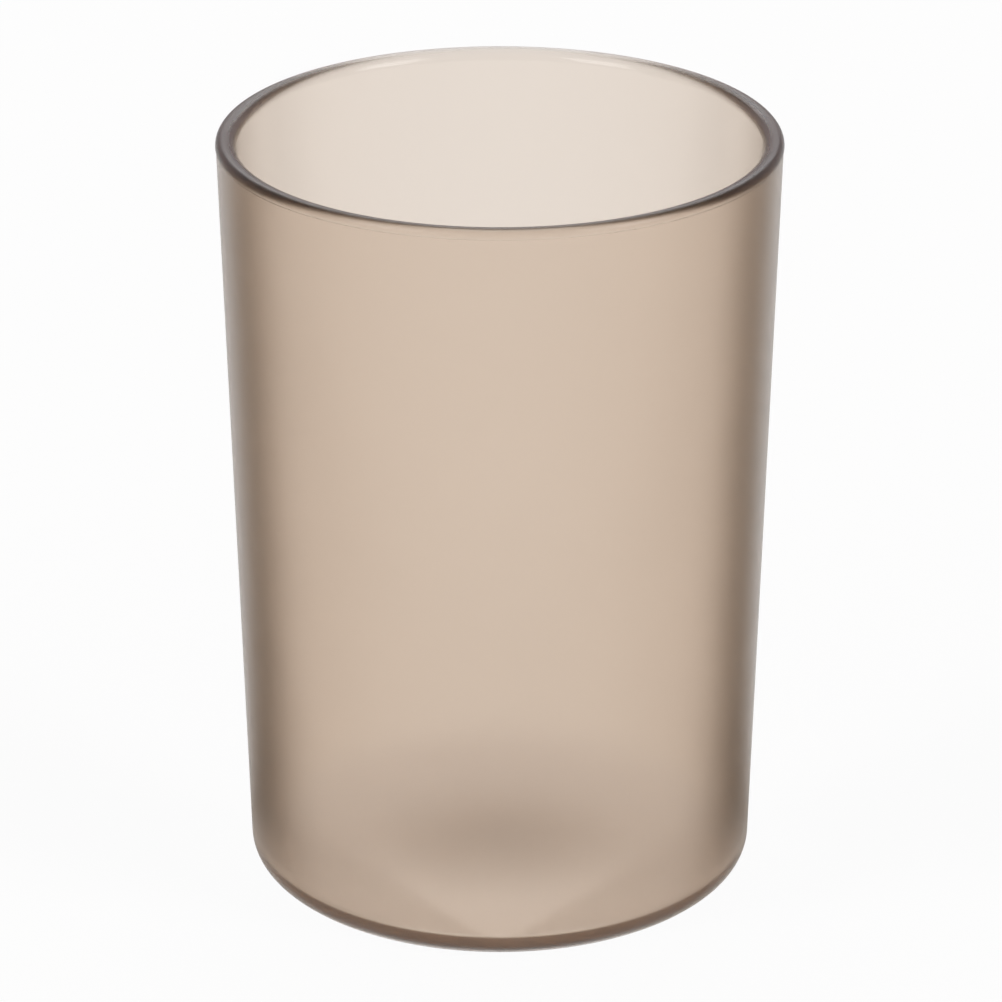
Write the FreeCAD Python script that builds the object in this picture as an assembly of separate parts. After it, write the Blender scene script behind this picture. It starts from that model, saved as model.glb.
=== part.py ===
import FreeCAD, Part
import math
import os

# A bathroom tumbler: one clear smoky moulding with a full-round rim, and a satin coat on the outside of its wall.
# The axis is Z, and the origin is the centre of the standing ring, on the table.

# Driving dimensions, in millimetres
rim_diameter = 75.0
base_diameter = 69.3
height = 105.0
wall_at_rim = 2.7
wall_at_floor = 2.85
floor_thickness = 1.7

# Rim: the outside edge is rounded first, and the inside edge takes up the rest of the wall
rim_outer_round = 1.1
rim_overhang = 0.05

# Corners at the bottom, outside and inside
base_corner_radius = 3.1
floor_corner_radius = 1.2

# Underside: a flat standing ring, a shallow dome inside it, and the dished mark of the moulding gate in the middle
standing_ring_width = 3.0
dome_depth = 0.4
gate_dish_diameter = 9.0
gate_dish_depth = 0.3
gate_stub_diameter = 2.2
gate_stub_height = 0.2

# Satin coat: it lies in a shallow seat in the wall, from just under the rim's round to part way round the base corner
coat_thickness = 0.12
coat_edge_land = 0.1
coat_wrap_degrees = 60.0

# Outer wall, a straight line from the table to the rim
rim_radius = rim_diameter / 2
base_radius = base_diameter / 2
wall_top_radius = rim_radius - rim_overhang
wall_lean = math.atan2(wall_top_radius - base_radius, height)
coat_edge_level = height - rim_outer_round - coat_edge_land

# Inner wall, a straight line from the inside floor to the rim
floor_level = dome_depth + floor_thickness
mouth_radius = wall_top_radius - wall_at_rim
floor_radius = base_radius + floor_level * math.tan(wall_lean) - wall_at_floor
hollow_lean = math.atan2(mouth_radius - floor_radius, height - floor_level)

# Centre of the outside base corner, which touches the wall and the table
corner_radius_out = base_radius + base_corner_radius * (math.tan(wall_lean) - 1 / math.cos(wall_lean))

# The dome is part of a large sphere that meets the standing ring at its inner edge
ring_inside = corner_radius_out - standing_ring_width
dome_sphere = (ring_inside ** 2 + dome_depth ** 2) / (2 * dome_depth)


def spot(radius, level):
    """A point of a half section: its distance from the axis and its height."""
    return FreeCAD.Vector(radius, 0, level)


def on_arc(centre, radius, degrees):
    """A point on a circle in the half section, counted from straight outwards towards straight up."""
    turn = math.radians(degrees)
    return centre + FreeCAD.Vector(radius * math.cos(turn), 0, radius * math.sin(turn))


def arc(centre, radius, start, stop):
    """An arc edge about a centre, between two angles in degrees."""
    middle = (start + stop) / 2
    points = [on_arc(centre, radius, degrees) for degrees in (start, middle, stop)]
    return Part.Arc(*points).toShape()


def line(start, end):
    """A straight edge."""
    return Part.LineSegment(start, end).toShape()


def joined(edges):
    """The edges, with a straight line across each gap between the end of one and the start of the next."""
    chain = []
    for before, edge in zip([edges[-1]] + edges, edges):
        end = before.lastVertex(True).Point
        start = edge.firstVertex(True).Point
        if end.distanceToPoint(start) > Part.Precision.confusion():
            chain.append(line(end, start))
        chain.append(edge)
    return chain


def turned(edges):
    """The solid that a closed half section makes about the axis."""
    section = Part.Face(Part.Wire(joined(edges)))
    return section.revolve(FreeCAD.Vector(0, 0, 0), FreeCAD.Vector(0, 0, 1), 360)


def wall_edges(depth):
    """The outside of the wall at a depth below the coat's face: down from the coat's edge and round the base corner."""
    centre = spot(corner_radius_out, base_corner_radius)
    bend = base_corner_radius - depth
    top = base_radius + coat_edge_level * math.tan(wall_lean) - depth / math.cos(wall_lean)
    lean = math.degrees(wall_lean)
    run = line(spot(top, coat_edge_level), on_arc(centre, bend, -lean))
    return [run, arc(centre, bend, -lean, -coat_wrap_degrees)]


def rim_edges():
    """The rim, from the inner wall over the top to the outside land above the coat."""
    crown = rim_radius - rim_outer_round
    lean = math.degrees(hollow_lean)
    inner_round = (crown - mouth_radius) / (1 / math.cos(hollow_lean) - math.tan(hollow_lean))
    inner = arc(spot(crown, height - inner_round), inner_round, 180 - lean, 90)
    outer = arc(spot(crown, height - rim_outer_round), rim_outer_round, 90, 0)
    land = line(spot(rim_radius, height - rim_outer_round), spot(rim_radius, coat_edge_level))
    return [inner, outer, land]


def foot_edges():
    """The uncoated end of the base corner, and the dome from the standing ring in to the edge of the gate's dish."""
    corner = arc(spot(corner_radius_out, base_corner_radius), base_corner_radius, -coat_wrap_degrees, -90)
    ring_angle = math.degrees(math.acos(ring_inside / dome_sphere))
    dish_angle = math.degrees(math.acos(gate_dish_diameter / 2 / dome_sphere))
    return [corner, arc(spot(0, dome_depth - dome_sphere), dome_sphere, ring_angle, dish_angle)]


def gate_edges():
    """The gate's shallow dish in the middle of the dome, and the stub that the gate left in it."""
    dish_radius = gate_dish_diameter / 2
    stub_radius = gate_stub_diameter / 2
    dish_level = dome_depth - dome_sphere + math.sqrt(dome_sphere ** 2 - dish_radius ** 2)
    sphere = (dish_radius ** 2 + gate_dish_depth ** 2) / (2 * gate_dish_depth)
    centre = spot(0, dish_level + gate_dish_depth - sphere)
    rim_angle = math.degrees(math.acos(dish_radius / sphere))
    stub_angle = math.degrees(math.acos(stub_radius / sphere))
    dish = arc(centre, sphere, rim_angle, stub_angle)
    stub_level = on_arc(centre, sphere, stub_angle).z - gate_stub_height
    stub_end = line(spot(stub_radius, stub_level), spot(0, stub_level))
    return [dish, stub_end]


def hollow_edges():
    """The inside: the floor from the axis outwards, and the round corner up to the inner wall."""
    lean = math.degrees(hollow_lean)
    centre_level = floor_level + floor_corner_radius
    wall_there = floor_radius + floor_corner_radius * math.tan(hollow_lean)
    centre = spot(wall_there - floor_corner_radius / math.cos(hollow_lean), centre_level)
    floor = line(spot(0, floor_level), spot(centre.x, floor_level))
    return [floor, arc(centre, floor_corner_radius, -90, -lean)]


def moulded_cup():
    """The whole moulding, with a shallow seat for the coat in its outer wall."""
    return turned(hollow_edges() + rim_edges() + wall_edges(coat_thickness) + foot_edges() + gate_edges())


def satin_coat():
    """The frosted layer that fills the seat, flush round the base corner and just inside the rim's land."""
    way_back = [edge.reversed() for edge in reversed(wall_edges(coat_thickness))]
    return turned(wall_edges(0) + way_back)


os.makedirs("parts", exist_ok=True)
for name, make in (("moulded_cup", moulded_cup), ("satin_coat", satin_coat)):
    solid = make()
    print(name, solid.ShapeType, solid.isValid(), round(solid.Volume, 1), "mm3", solid.optimalBoundingBox())
    solid.exportStep("parts/" + name + ".step")
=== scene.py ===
"""A smoky translucent bathroom tumbler with a clear rim and a satin coated wall, on a pale studio floor."""
import bmesh
import bpy
import math
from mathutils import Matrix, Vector, noise

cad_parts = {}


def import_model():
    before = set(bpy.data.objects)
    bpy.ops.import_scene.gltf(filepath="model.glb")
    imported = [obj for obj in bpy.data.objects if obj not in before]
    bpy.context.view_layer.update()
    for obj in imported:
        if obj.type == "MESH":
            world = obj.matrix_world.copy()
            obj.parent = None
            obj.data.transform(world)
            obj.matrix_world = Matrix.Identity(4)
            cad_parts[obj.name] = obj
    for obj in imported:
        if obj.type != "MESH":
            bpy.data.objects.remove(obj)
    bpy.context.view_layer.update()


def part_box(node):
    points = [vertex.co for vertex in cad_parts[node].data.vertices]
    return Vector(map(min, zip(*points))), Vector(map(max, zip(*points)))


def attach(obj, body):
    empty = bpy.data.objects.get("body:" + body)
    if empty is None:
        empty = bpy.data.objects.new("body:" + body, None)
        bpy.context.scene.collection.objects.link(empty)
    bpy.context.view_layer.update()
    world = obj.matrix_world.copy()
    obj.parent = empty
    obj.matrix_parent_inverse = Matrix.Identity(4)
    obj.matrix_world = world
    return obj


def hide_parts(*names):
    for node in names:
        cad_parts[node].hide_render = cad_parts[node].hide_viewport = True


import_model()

MM = 0.001

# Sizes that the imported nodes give, in metres
cup_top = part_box("moulded_cup")[1]
height = cup_top.z
rim_radius = cup_top.x
coat_edge_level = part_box("satin_coat")[1].z

# Sizes repeated from the part's source
base_radius = 34.65 * MM
wall_at_rim = 2.7 * MM
wall_at_floor = 2.85 * MM
floor_level = 2.1 * MM
rim_outer_round = 1.1 * MM
rim_overhang = 0.05 * MM
base_corner_radius = 3.1 * MM
floor_corner_radius = 1.2 * MM
standing_ring_width = 3.0 * MM
dome_depth = 0.4 * MM
gate_dish_radius = 4.5 * MM
gate_dish_depth = 0.3 * MM
gate_stub_radius = 1.1 * MM
gate_stub_height = 0.2 * MM
coat_thickness = 0.12 * MM
coat_wrap_degrees = 60.0

# Lines of the wall, worked out from the sizes above
wall_top_radius = rim_radius - rim_overhang
wall_lean = math.atan2(wall_top_radius - base_radius, height)
mouth_radius = wall_top_radius - wall_at_rim
crown_radius = rim_radius - rim_outer_round
floor_radius = base_radius + floor_level * math.tan(wall_lean) - wall_at_floor
hollow_lean = math.atan2(mouth_radius - floor_radius, height - floor_level)
corner_radius_out = base_radius + base_corner_radius * (math.tan(wall_lean) - 1 / math.cos(wall_lean))
corner_centre = (corner_radius_out, base_corner_radius)

# Mesh fineness: faces around, rings along each stretch, and a ring held close to each crisp end
CUP_AROUND = 256
COAT_AROUND = 768
FLOOR_AROUND = 128
ARC_STEP_DEGREES = 7.0
ARC_LEAST_STEPS = 2
FLOOR_RINGS = 8
CUP_WALL_RINGS = 24
COAT_WALL_RINGS = 6
STAND_RINGS = 3
DOME_RINGS = 16
DISH_RINGS = 6
HOLD = 0.25 * MM
HOLD_LARGEST_SHARE = 0.25

# The coat's shell: its clearance in the seat, and how its upper edge wanders and is notched
COAT_GAP = 0.01 * MM
COAT_END_DEGREES = 0.5
COAT_WANDER = 0.08 * MM
WANDER_TURNS = 9.0
COAT_NOTCH = 0.25 * MM
NOTCH_TURNS = 45.0
NOTCH_FROM = 0.2
NOTCH_SIDE = Vector((-0.55, -0.83, 0.0))

# Finishes of the plastic, as roughness
POLISHED = 0.06
RIM = 0.33
SEAT = 0.25
SATIN = 0.29
MATTE = 0.56

# Plastic and coat, with tints that deepen with the way that light goes through them
PLASTIC_IOR = 1.5
PLASTIC_TINT = (0.7415, 0.571, 0.3935)
PLASTIC_DENSITY = 200.0
COAT_IOR = 1.1
COAT_TINT = (0.6, 0.3, 0.0)
COAT_DENSITY = 400.0

# Relief of the surfaces: slow ripples of the moulding, upright streaks and fine specks of the coat.
# Scales are counts per metre, and spreads are how far the roughness strays to each side.
RIPPLE_SCALE = 70.0
RIPPLE_DEPTH = 0.004 * MM
STREAK_SCALE = 420.0
STREAK_LENGTH = 40.0
STREAK_DEPTH = 0.0002 * MM
SPECK_SCALE = 2600.0
SPECK_DEPTH = 0.0015 * MM
FINISH_SPREAD = 0.05
STREAK_SPREAD = 0.01
NOISE_SPAN = (0.3, 0.7)
NOISE_DETAIL = 2.0

# Floor: how much of plain white the camera and the plastic see
FLOOR_RADIUS = 4.0
FLOOR_DROP = 0.03 * MM
FLOOR_COLOUR = 0.9
FLOOR_ROUGHNESS = 0.9
CAMERA_WHITE_SHARE = 0.96
PLASTIC_WHITE_SHARE = 0.9

# What the plastic sees on the floor: light, with painted shade in a warm grey sector on each side, and a
# painted shadow spot under the tumbler
FAN_BACK = 1.0
FAN_SIDE_SHADE = 0.28
FAN_FRONT = 0.95
FAN_APEX = 32.0 * MM
FAN_BACK_DEGREES = (34.0, 53.0)
FAN_FRONT_DEGREES = (58.0, 82.0)
BENEATH_LEVEL = 0.8
BENEATH_FADE = (base_radius - 5 * MM, base_radius + 25 * MM)
# Painted shadow under the tumbler: how dark it gets, its fade in metres, and its narrowing across.
PAINTED_SHADOW_DARK = 0.6
PAINTED_SHADOW_FADE = (2.0 * MM, 21.0 * MM)
PAINTED_SHADOW_NARROWING = 0.7
WARM_GREEN = 1.12
WARM_BLUE = 1.25

# Surroundings: a dim sky, brighter low down behind the tumbler, with the spans of Y and Z where it fades
WORLD_COLOUR = (1.0, 0.84, 0.84)
WORLD_LOW_BACK = 0.7
WORLD_REST = 0.15
BEHIND_FADE = (0.2, 0.7)
LOW_FADE = (0.4, 0.75)

# Lamps: name, azimuth and elevation in degrees, width and height in metres, and radiance
LAMP_DISTANCE = 0.9
LAMPS = (
    ("softbox_back", 180, 40, 0.8, 0.5, 2.0),
    ("softbox_left", -50, 35, 0.4, 0.5, 3.0),
    ("softbox_right", 55, 35, 0.4, 0.5, 3.0),
)

# Camera, fitted to the tumbler's outline: focal length and frame in pixels, tilt below level in radians
CAMERA_FOCAL = 4663.57
CAMERA_FRAME = 1002
CAMERA_SENSOR = 36.0
CAMERA_LENS = CAMERA_FOCAL / CAMERA_FRAME * CAMERA_SENSOR
CAMERA_NEAR = 0.01
CAMERA_SHIFT = 0.00117
CAMERA_PLACE = (0.0, -0.582827, 0.306292)
CAMERA_DOWN = 0.41142


def arc(centre, radius, start, stop):
    """Half-section points along an arc, both ends included, angles in degrees from straight outwards."""
    steps = max(ARC_LEAST_STEPS, math.ceil(abs(stop - start) / ARC_STEP_DEGREES))
    points = []
    for index in range(steps + 1):
        turn = math.radians(start + (stop - start) * index / steps)
        points.append((centre[0] + radius * math.cos(turn), centre[1] + radius * math.sin(turn)))
    return points


def run(start, end, rings):
    """Points on a straight stretch between two ends, with a ring held close to each end."""
    length = math.hypot(end[0] - start[0], end[1] - start[1])
    hold = min(HOLD / length, HOLD_LARGEST_SHARE)
    shares = [hold] + [hold + (1 - 2 * hold) * index / rings for index in range(1, rings)] + [1 - hold]
    return [(start[0] + (end[0] - start[0]) * s, start[1] + (end[1] - start[1]) * s) for s in shares]


def bowl(edge, rise, stop, rings):
    """Points on a shallow round bowl that opens downwards, from its edge inwards to a radius."""
    radius, level = edge
    sphere = (radius ** 2 + rise ** 2) / (2 * rise)
    centre = level + rise - sphere
    points = []
    for index in range(1, rings + 1):
        here = radius + (stop - radius) * index / rings
        points.append((here, centre + math.sqrt(sphere ** 2 - here ** 2)))
    return points


def wall_path(depth, rings, stop):
    """The outside of the wall at a depth below the coat's face, down from its edge and round the corner."""
    lean = math.degrees(wall_lean)
    corner = arc(corner_centre, base_corner_radius - depth, -lean, -stop)
    top_radius = base_radius + coat_edge_level * math.tan(wall_lean) - depth / math.cos(wall_lean)
    top = (top_radius, coat_edge_level)
    return [top] + run(top, corner[0], rings) + corner


def rim_inside():
    """The inner half of the rim's round, from the inner wall up to the crown."""
    lean = math.degrees(hollow_lean)
    inner_round = (crown_radius - mouth_radius) / (1 / math.cos(hollow_lean) - math.tan(hollow_lean))
    return arc((crown_radius, height - inner_round), inner_round, 180 - lean, 90)


def rim_outside():
    """The outer half of the rim's round, from beside the crown down to the land above the coat."""
    outer = arc((crown_radius, height - rim_outer_round), rim_outer_round, 90, 0)
    return outer[1:] + [(rim_radius, coat_edge_level)]


def inner_path():
    """The inside: the floor from the axis outwards, its round corner and the inner wall up to the rim."""
    lean = math.degrees(hollow_lean)
    wall_there = floor_radius + floor_corner_radius * math.tan(hollow_lean)
    centre = (wall_there - floor_corner_radius / math.cos(hollow_lean), floor_level + floor_corner_radius)
    corner = arc(centre, floor_corner_radius, -90, -lean)
    middle = (0.0, floor_level)
    floor = [middle] + run(middle, corner[0], FLOOR_RINGS)
    return floor + corner + run(corner[-1], rim_inside()[0], CUP_WALL_RINGS)


def foot_path():
    """The uncoated end of the base corner, the standing ring, the dome and the gate's dish and stub."""
    corner = arc(corner_centre, base_corner_radius, -coat_wrap_degrees, -90)
    ring_inside = (corner_radius_out - standing_ring_width, 0.0)
    dome = bowl(ring_inside, dome_depth, gate_dish_radius, DOME_RINGS)
    dish = bowl(dome[-1], gate_dish_depth, gate_stub_radius, DISH_RINGS)
    stub_level = dish[-1][1] - gate_stub_height
    stub = [(gate_stub_radius, stub_level), (0.0, stub_level)]
    return corner + run(corner[-1], ring_inside, STAND_RINGS) + [ring_inside] + dome + dish + stub


def ring_verts(bm, radius, level, around):
    """The vertices of one ring, or the single vertex on the axis."""
    if radius == 0.0:
        return [bm.verts.new((0.0, 0.0, level))]
    turns = [2 * math.pi * index / around for index in range(around)]
    return [bm.verts.new((radius * math.cos(turn), radius * math.sin(turn), level)) for turn in turns]


def ring_faces(bm, first, second, around):
    """The faces between two neighbouring rings."""
    faces = []
    for index in range(around):
        after = (index + 1) % around
        if len(first) == 1:
            corners = (first[0], second[index], second[after])
        elif len(second) == 1:
            corners = (first[index], second[0], first[after])
        else:
            corners = (first[index], second[index], second[after], first[after])
        faces.append(bm.faces.new(corners))
    return faces


def turned(name, sections, material, closed, around):
    """A mesh of revolution. Each section is a list of half-section points and the finish of its faces."""
    bm = bmesh.new()
    finish_layer = bm.faces.layers.float.new("finish")
    rings = []
    for points, finish in sections:
        for radius, level in points:
            rings.append((ring_verts(bm, radius, level, around), finish))
    pairs = list(zip(rings, rings[1:]))
    if closed:
        pairs.append((rings[-1], rings[0]))
    for (first, _), (second, finish) in pairs:
        for face in ring_faces(bm, first, second, around):
            face.smooth = True
            face[finish_layer] = finish
    bmesh.ops.recalc_face_normals(bm, faces=bm.faces)
    mesh = bpy.data.meshes.new(name)
    bm.to_mesh(mesh)
    bm.free()
    mesh.materials.append(material)
    piece = bpy.data.objects.new(name, mesh)
    bpy.context.collection.objects.link(piece)
    return piece


def graded(points, first, last):
    """Sections of one ring each, whose finish goes evenly from one value to another."""
    step = (last - first) / len(points)
    return [([point], first + step * index) for index, point in enumerate(points, 1)]


def edge_drop(way):
    """How far the coat's edge falls short in a direction: a slow wander, and notches at the front left."""
    wander = COAT_WANDER * (0.5 + 0.5 * noise.noise(way * WANDER_TURNS))
    notch = COAT_NOTCH * max(0.0, noise.noise(way * NOTCH_TURNS) - NOTCH_FROM)
    return wander + notch * max(0.0, way.dot(NOTCH_SIDE))


def coat_shell():
    """The coat as a thin closed shell in its seat, with a ragged upper edge."""
    stop = coat_wrap_degrees - COAT_END_DEGREES
    outside = wall_path(0.0, COAT_WALL_RINGS, stop)
    inside = wall_path(coat_thickness - COAT_GAP, COAT_WALL_RINGS, stop)
    sections = [(outside, SATIN), (inside[::-1], SATIN)]
    piece = turned("frosted_coat", sections, frosted_film(), True, COAT_AROUND)
    for vert in piece.data.vertices:
        if vert.co.z > coat_edge_level - HOLD / 2:
            way = Vector((vert.co.x, vert.co.y, 0.0)).normalized()
            drop = edge_drop(way)
            vert.co -= drop * math.tan(wall_lean) * way
            vert.co.z -= drop
    return piece


def math_node(material, operation, first, second):
    """A math node on two values, each a socket or a number."""
    node = material.node_tree.nodes.new("ShaderNodeMath")
    node.operation = operation
    for value, socket in zip((first, second), node.inputs):
        if isinstance(value, float):
            socket.default_value = value
        else:
            material.node_tree.links.new(value, socket)
    return node.outputs["Value"]


def soft_step(material, value, fade, at_low, at_high):
    """A soft step from one value to another as the input crosses the fade."""
    step = material.node_tree.nodes.new("ShaderNodeMapRange")
    step.interpolation_type = "SMOOTHSTEP"
    step.inputs["From Min"].default_value = fade[0]
    step.inputs["From Max"].default_value = fade[1]
    step.inputs["To Min"].default_value = at_low
    step.inputs["To Max"].default_value = at_high
    material.node_tree.links.new(value, step.inputs["Value"])
    return step.outputs["Result"]


def grain(material, scale, length):
    """Noise in the piece's own coordinates, drawn out along Z by a factor."""
    nodes = material.node_tree.nodes
    links = material.node_tree.links
    place = nodes.new("ShaderNodeTexCoord")
    squeeze = nodes.new("ShaderNodeMapping")
    squeeze.inputs["Scale"].default_value = (1.0, 1.0, 1.0 / length)
    texture = nodes.new("ShaderNodeTexNoise")
    texture.inputs["Scale"].default_value = scale
    texture.inputs["Detail"].default_value = NOISE_DETAIL
    links.new(place.outputs["Object"], squeeze.inputs["Vector"])
    links.new(squeeze.outputs["Vector"], texture.inputs["Vector"])
    return texture.outputs[0]


def relief(material, level):
    """Bump from a height in metres."""
    nodes = material.node_tree.nodes
    links = material.node_tree.links
    bump = nodes.new("ShaderNodeBump")
    bump.inputs["Distance"].default_value = 1.0
    links.new(level, bump.inputs["Height"])
    links.new(bump.outputs["Normal"], nodes["Principled BSDF"].inputs["Normal"])


def see_through(name, ior, tint, density):
    """A clear material with a tint in its depth."""
    material = bpy.data.materials.new(name)
    material.use_nodes = True
    nodes = material.node_tree.nodes
    shader = nodes["Principled BSDF"]
    shader.inputs["Base Color"].default_value = (1.0, 1.0, 1.0, 1.0)
    shader.inputs["Transmission Weight"].default_value = 1.0
    shader.inputs["IOR"].default_value = ior
    volume = nodes.new("ShaderNodeVolumeAbsorption")
    volume.inputs["Color"].default_value = (*tint, 1.0)
    volume.inputs["Density"].default_value = density
    material.node_tree.links.new(volume.outputs["Volume"], nodes["Material Output"].inputs["Volume"])
    return material


def smoked_plastic():
    """The moulding: each face's own finish, slightly uneven, with slow ripples and a fine grain."""
    material = see_through("smoked_plastic", PLASTIC_IOR, PLASTIC_TINT, PLASTIC_DENSITY)
    nodes = material.node_tree.nodes
    attribute = nodes.new("ShaderNodeAttribute")
    attribute.attribute_name = "finish"
    finish = attribute.outputs["Fac"]
    ripple = grain(material, RIPPLE_SCALE, 1.0)
    speck = grain(material, SPECK_SCALE, 1.0)
    uneven = soft_step(material, ripple, NOISE_SPAN, 1 - FINISH_SPREAD, 1 + FINISH_SPREAD)
    roughness = math_node(material, "MULTIPLY", finish, uneven)
    material.node_tree.links.new(roughness, nodes["Principled BSDF"].inputs["Roughness"])
    ripple_level = math_node(material, "MULTIPLY", ripple, RIPPLE_DEPTH)
    speck_level = math_node(material, "MULTIPLY", math_node(material, "MULTIPLY", speck, finish), SPECK_DEPTH)
    relief(material, math_node(material, "ADD", ripple_level, speck_level))
    return material


def frosted_film():
    """The satin coat: a thin film with faint upright streaks and fine specks."""
    material = see_through("frosted_film", COAT_IOR, COAT_TINT, COAT_DENSITY)
    streak = grain(material, STREAK_SCALE, STREAK_LENGTH)
    speck = grain(material, SPECK_SCALE, 1.0)
    roughness = soft_step(material, streak, NOISE_SPAN, SATIN - STREAK_SPREAD, SATIN + STREAK_SPREAD)
    shader = material.node_tree.nodes["Principled BSDF"]
    material.node_tree.links.new(roughness, shader.inputs["Roughness"])
    streak_level = math_node(material, "MULTIPLY", streak, STREAK_DEPTH)
    speck_level = math_node(material, "MULTIPLY", speck, SPECK_DEPTH)
    relief(material, math_node(material, "ADD", streak_level, speck_level))
    return material


def distance(material, x, y):
    """The length of a flat vector."""
    square_x = math_node(material, "MULTIPLY", x, x)
    square_y = math_node(material, "MULTIPLY", y, y)
    return math_node(material, "SQRT", math_node(material, "ADD", square_x, square_y), 0.0)


def floor_place(material):
    """A place on the floor: its turn, 0 behind and pi in front, its distance, and that in the oval of the
    painted shadow.
    """
    nodes = material.node_tree.nodes
    place = nodes.new("ShaderNodeTexCoord")
    apart = nodes.new("ShaderNodeSeparateXYZ")
    material.node_tree.links.new(place.outputs["Object"], apart.inputs["Vector"])
    x, y = apart.outputs["X"], apart.outputs["Y"]
    past_apex = math_node(material, "ADD", y, FAN_APEX)
    turn = math_node(material, "ABSOLUTE", math_node(material, "ARCTAN2", x, past_apex), 0.0)
    narrow = math_node(material, "MULTIPLY", x, PAINTED_SHADOW_NARROWING)
    return turn, distance(material, x, y), distance(material, narrow, y)


def floor_painted_shade(material, turn, away):
    """The floor's lightness: light behind and in front, with painted shade in a grey sector on each side
    between them, which gives way to a lighter level under and round the tumbler.
    """
    back_edge = [math.radians(degrees) for degrees in FAN_BACK_DEGREES]
    front_edge = [math.radians(degrees) for degrees in FAN_FRONT_DEGREES]
    # Painted shade: a grey sector on each side of the floor.
    back = soft_step(material, turn, back_edge, FAN_BACK, FAN_SIDE_SHADE)
    front = soft_step(material, turn, front_edge, FAN_SIDE_SHADE, FAN_FRONT)
    # Under and round the tumbler the painted side shade gives way to a lighter level.
    beneath = soft_step(material, away, BENEATH_FADE, BENEATH_LEVEL, 0.0)
    return math_node(material, "MAXIMUM", math_node(material, "MAXIMUM", back, front), beneath)


def floor_material():
    """A pale floor that the camera sees almost white, and the plastic with painted shade in two grey sectors
    and a painted shadow spot.
    """
    material = bpy.data.materials.new("studio_floor")
    material.use_nodes = True
    nodes = material.node_tree.nodes
    links = material.node_tree.links
    turn, away, shadow_oval = floor_place(material)
    shaded_fan = floor_painted_shade(material, turn, away)
    shader = nodes["Principled BSDF"]
    shader.inputs["Roughness"].default_value = FLOOR_ROUGHNESS
    shade = nodes.new("ShaderNodeCombineColor")
    # The painted side shade also darkens the floor's own colour under the lamps.
    level = math_node(material, "MULTIPLY", shaded_fan, FLOOR_COLOUR)
    for channel in ("Red", "Green", "Blue"):
        links.new(level, shade.inputs[channel])
    links.new(shade.outputs["Color"], shader.inputs["Base Color"])
    path = nodes.new("ShaderNodeLightPath")
    bent = math_node(material, "MAXIMUM", path.outputs["Is Glossy Ray"], path.outputs["Is Transmission Ray"])
    bent_share = math_node(material, "MULTIPLY", bent, PLASTIC_WHITE_SHARE)
    straight_share = math_node(material, "MULTIPLY", path.outputs["Is Camera Ray"], CAMERA_WHITE_SHARE)
    # Painted shadow: a soft dark oval on the floor under the tumbler.
    painted_shadow = soft_step(material, shadow_oval, PAINTED_SHADOW_FADE, PAINTED_SHADOW_DARK, 1.0)
    shadowed = math_node(material, "MULTIPLY", shaded_fan, painted_shadow)
    lightness = math_node(material, "MAXIMUM", path.outputs["Is Camera Ray"], shadowed)
    # The darker painted shade and shadow turn warmer in tone.
    tone = nodes.new("ShaderNodeCombineColor")
    links.new(lightness, tone.inputs["Red"])
    links.new(math_node(material, "POWER", lightness, WARM_GREEN), tone.inputs["Green"])
    links.new(math_node(material, "POWER", lightness, WARM_BLUE), tone.inputs["Blue"])
    seen = nodes.new("ShaderNodeEmission")
    links.new(tone.outputs["Color"], seen.inputs["Color"])
    mix = nodes.new("ShaderNodeMixShader")
    links.new(math_node(material, "MAXIMUM", bent_share, straight_share), mix.inputs["Fac"])
    links.new(shader.outputs["BSDF"], mix.inputs[1])
    links.new(seen.outputs["Emission"], mix.inputs[2])
    links.new(mix.outputs["Shader"], nodes["Material Output"].inputs["Surface"])
    return material


def floor():
    """A round floor just under the tumbler's standing ring."""
    bpy.ops.mesh.primitive_circle_add(vertices=FLOOR_AROUND, radius=FLOOR_RADIUS, fill_type="NGON")
    piece = bpy.context.object
    piece.name = "studio_floor"
    piece.location.z = -FLOOR_DROP
    piece.data.materials.append(floor_material())


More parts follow.
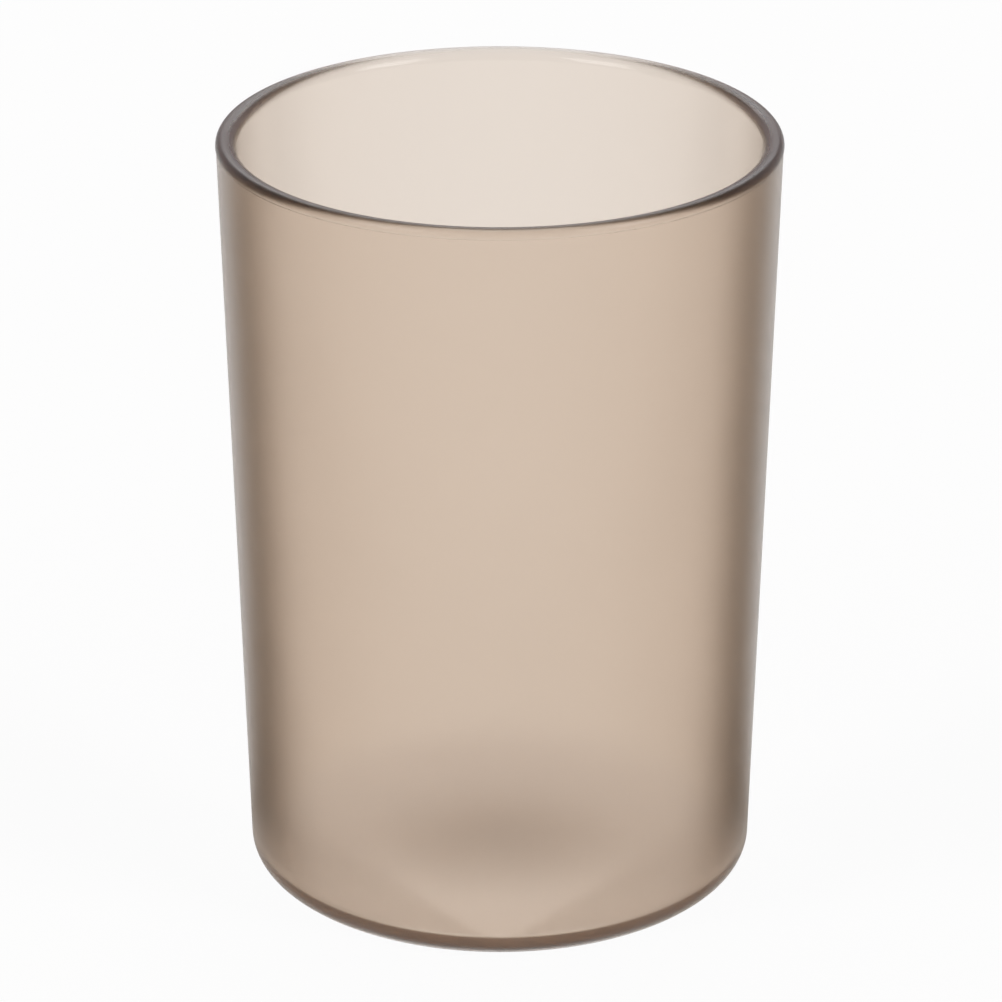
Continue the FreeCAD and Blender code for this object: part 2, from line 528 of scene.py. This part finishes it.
def softbox(name, azimuth, elevation, width, tall, radiance):
    """A rectangular lamp that faces the tumbler. Azimuth 0 is the camera's side, and it counts towards +X."""
    data = bpy.data.lights.new(name, "AREA")
    data.shape = "RECTANGLE"
    data.size = width
    data.size_y = tall
    data.energy = radiance * math.pi * width * tall
    lamp = bpy.data.objects.new(name, data)
    turn = math.radians(azimuth)
    lift = math.radians(elevation)
    aim = Vector((0.0, 0.0, height / 2))
    way = Vector((math.sin(turn) * math.cos(lift), -math.cos(turn) * math.cos(lift), math.sin(lift)))
    lamp.location = aim + LAMP_DISTANCE * way
    lamp.rotation_euler = way.to_track_quat("Z", "Y").to_euler()
    bpy.context.collection.objects.link(lamp)


def world():
    """Dim surroundings that brighten low down behind the tumbler, as a lit backdrop does."""
    studio = bpy.data.worlds.new("studio")
    studio.use_nodes = True
    nodes = studio.node_tree.nodes
    links = studio.node_tree.links
    place = nodes.new("ShaderNodeTexCoord")
    apart = nodes.new("ShaderNodeSeparateXYZ")
    links.new(place.outputs["Generated"], apart.inputs["Vector"])
    behind = soft_step(studio, apart.outputs["Y"], BEHIND_FADE, 0.0, 1.0)
    low = soft_step(studio, apart.outputs["Z"], LOW_FADE, WORLD_LOW_BACK - WORLD_REST, 0.0)
    glow = math_node(studio, "ADD", math_node(studio, "MULTIPLY", behind, low), WORLD_REST)
    background = nodes["Background"]
    background.inputs["Color"].default_value = (*WORLD_COLOUR, 1.0)
    links.new(glow, background.inputs["Strength"])
    bpy.context.scene.world = studio


def camera():
    """The camera at the photograph's angle."""
    data = bpy.data.cameras.new("camera")
    data.sensor_width = CAMERA_SENSOR
    data.lens = CAMERA_LENS
    data.shift_x = CAMERA_SHIFT
    data.clip_start = CAMERA_NEAR
    eye = bpy.data.objects.new("camera", data)
    eye.location = CAMERA_PLACE
    eye.rotation_euler = (math.pi / 2 - CAMERA_DOWN, 0.0, 0.0)
    bpy.context.collection.objects.link(eye)
    bpy.context.scene.camera = eye


seat_path = wall_path(coat_thickness, CUP_WALL_RINGS, coat_wrap_degrees)
cup_sections = [(inner_path(), POLISHED)] + graded(rim_inside(), POLISHED, RIM)
cup_sections += [(rim_outside(), RIM), (seat_path, SEAT), (foot_path(), MATTE)]
cup = turned("cup_moulding", cup_sections, smoked_plastic(), False, CUP_AROUND)
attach(cup, "root")
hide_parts("moulded_cup")

coat = coat_shell()
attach(coat, "root")
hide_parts("satin_coat")

floor()
world()
for lamp in LAMPS:
    softbox(*lamp)
camera()
bpy.context.scene.view_settings.view_transform = "Standard"
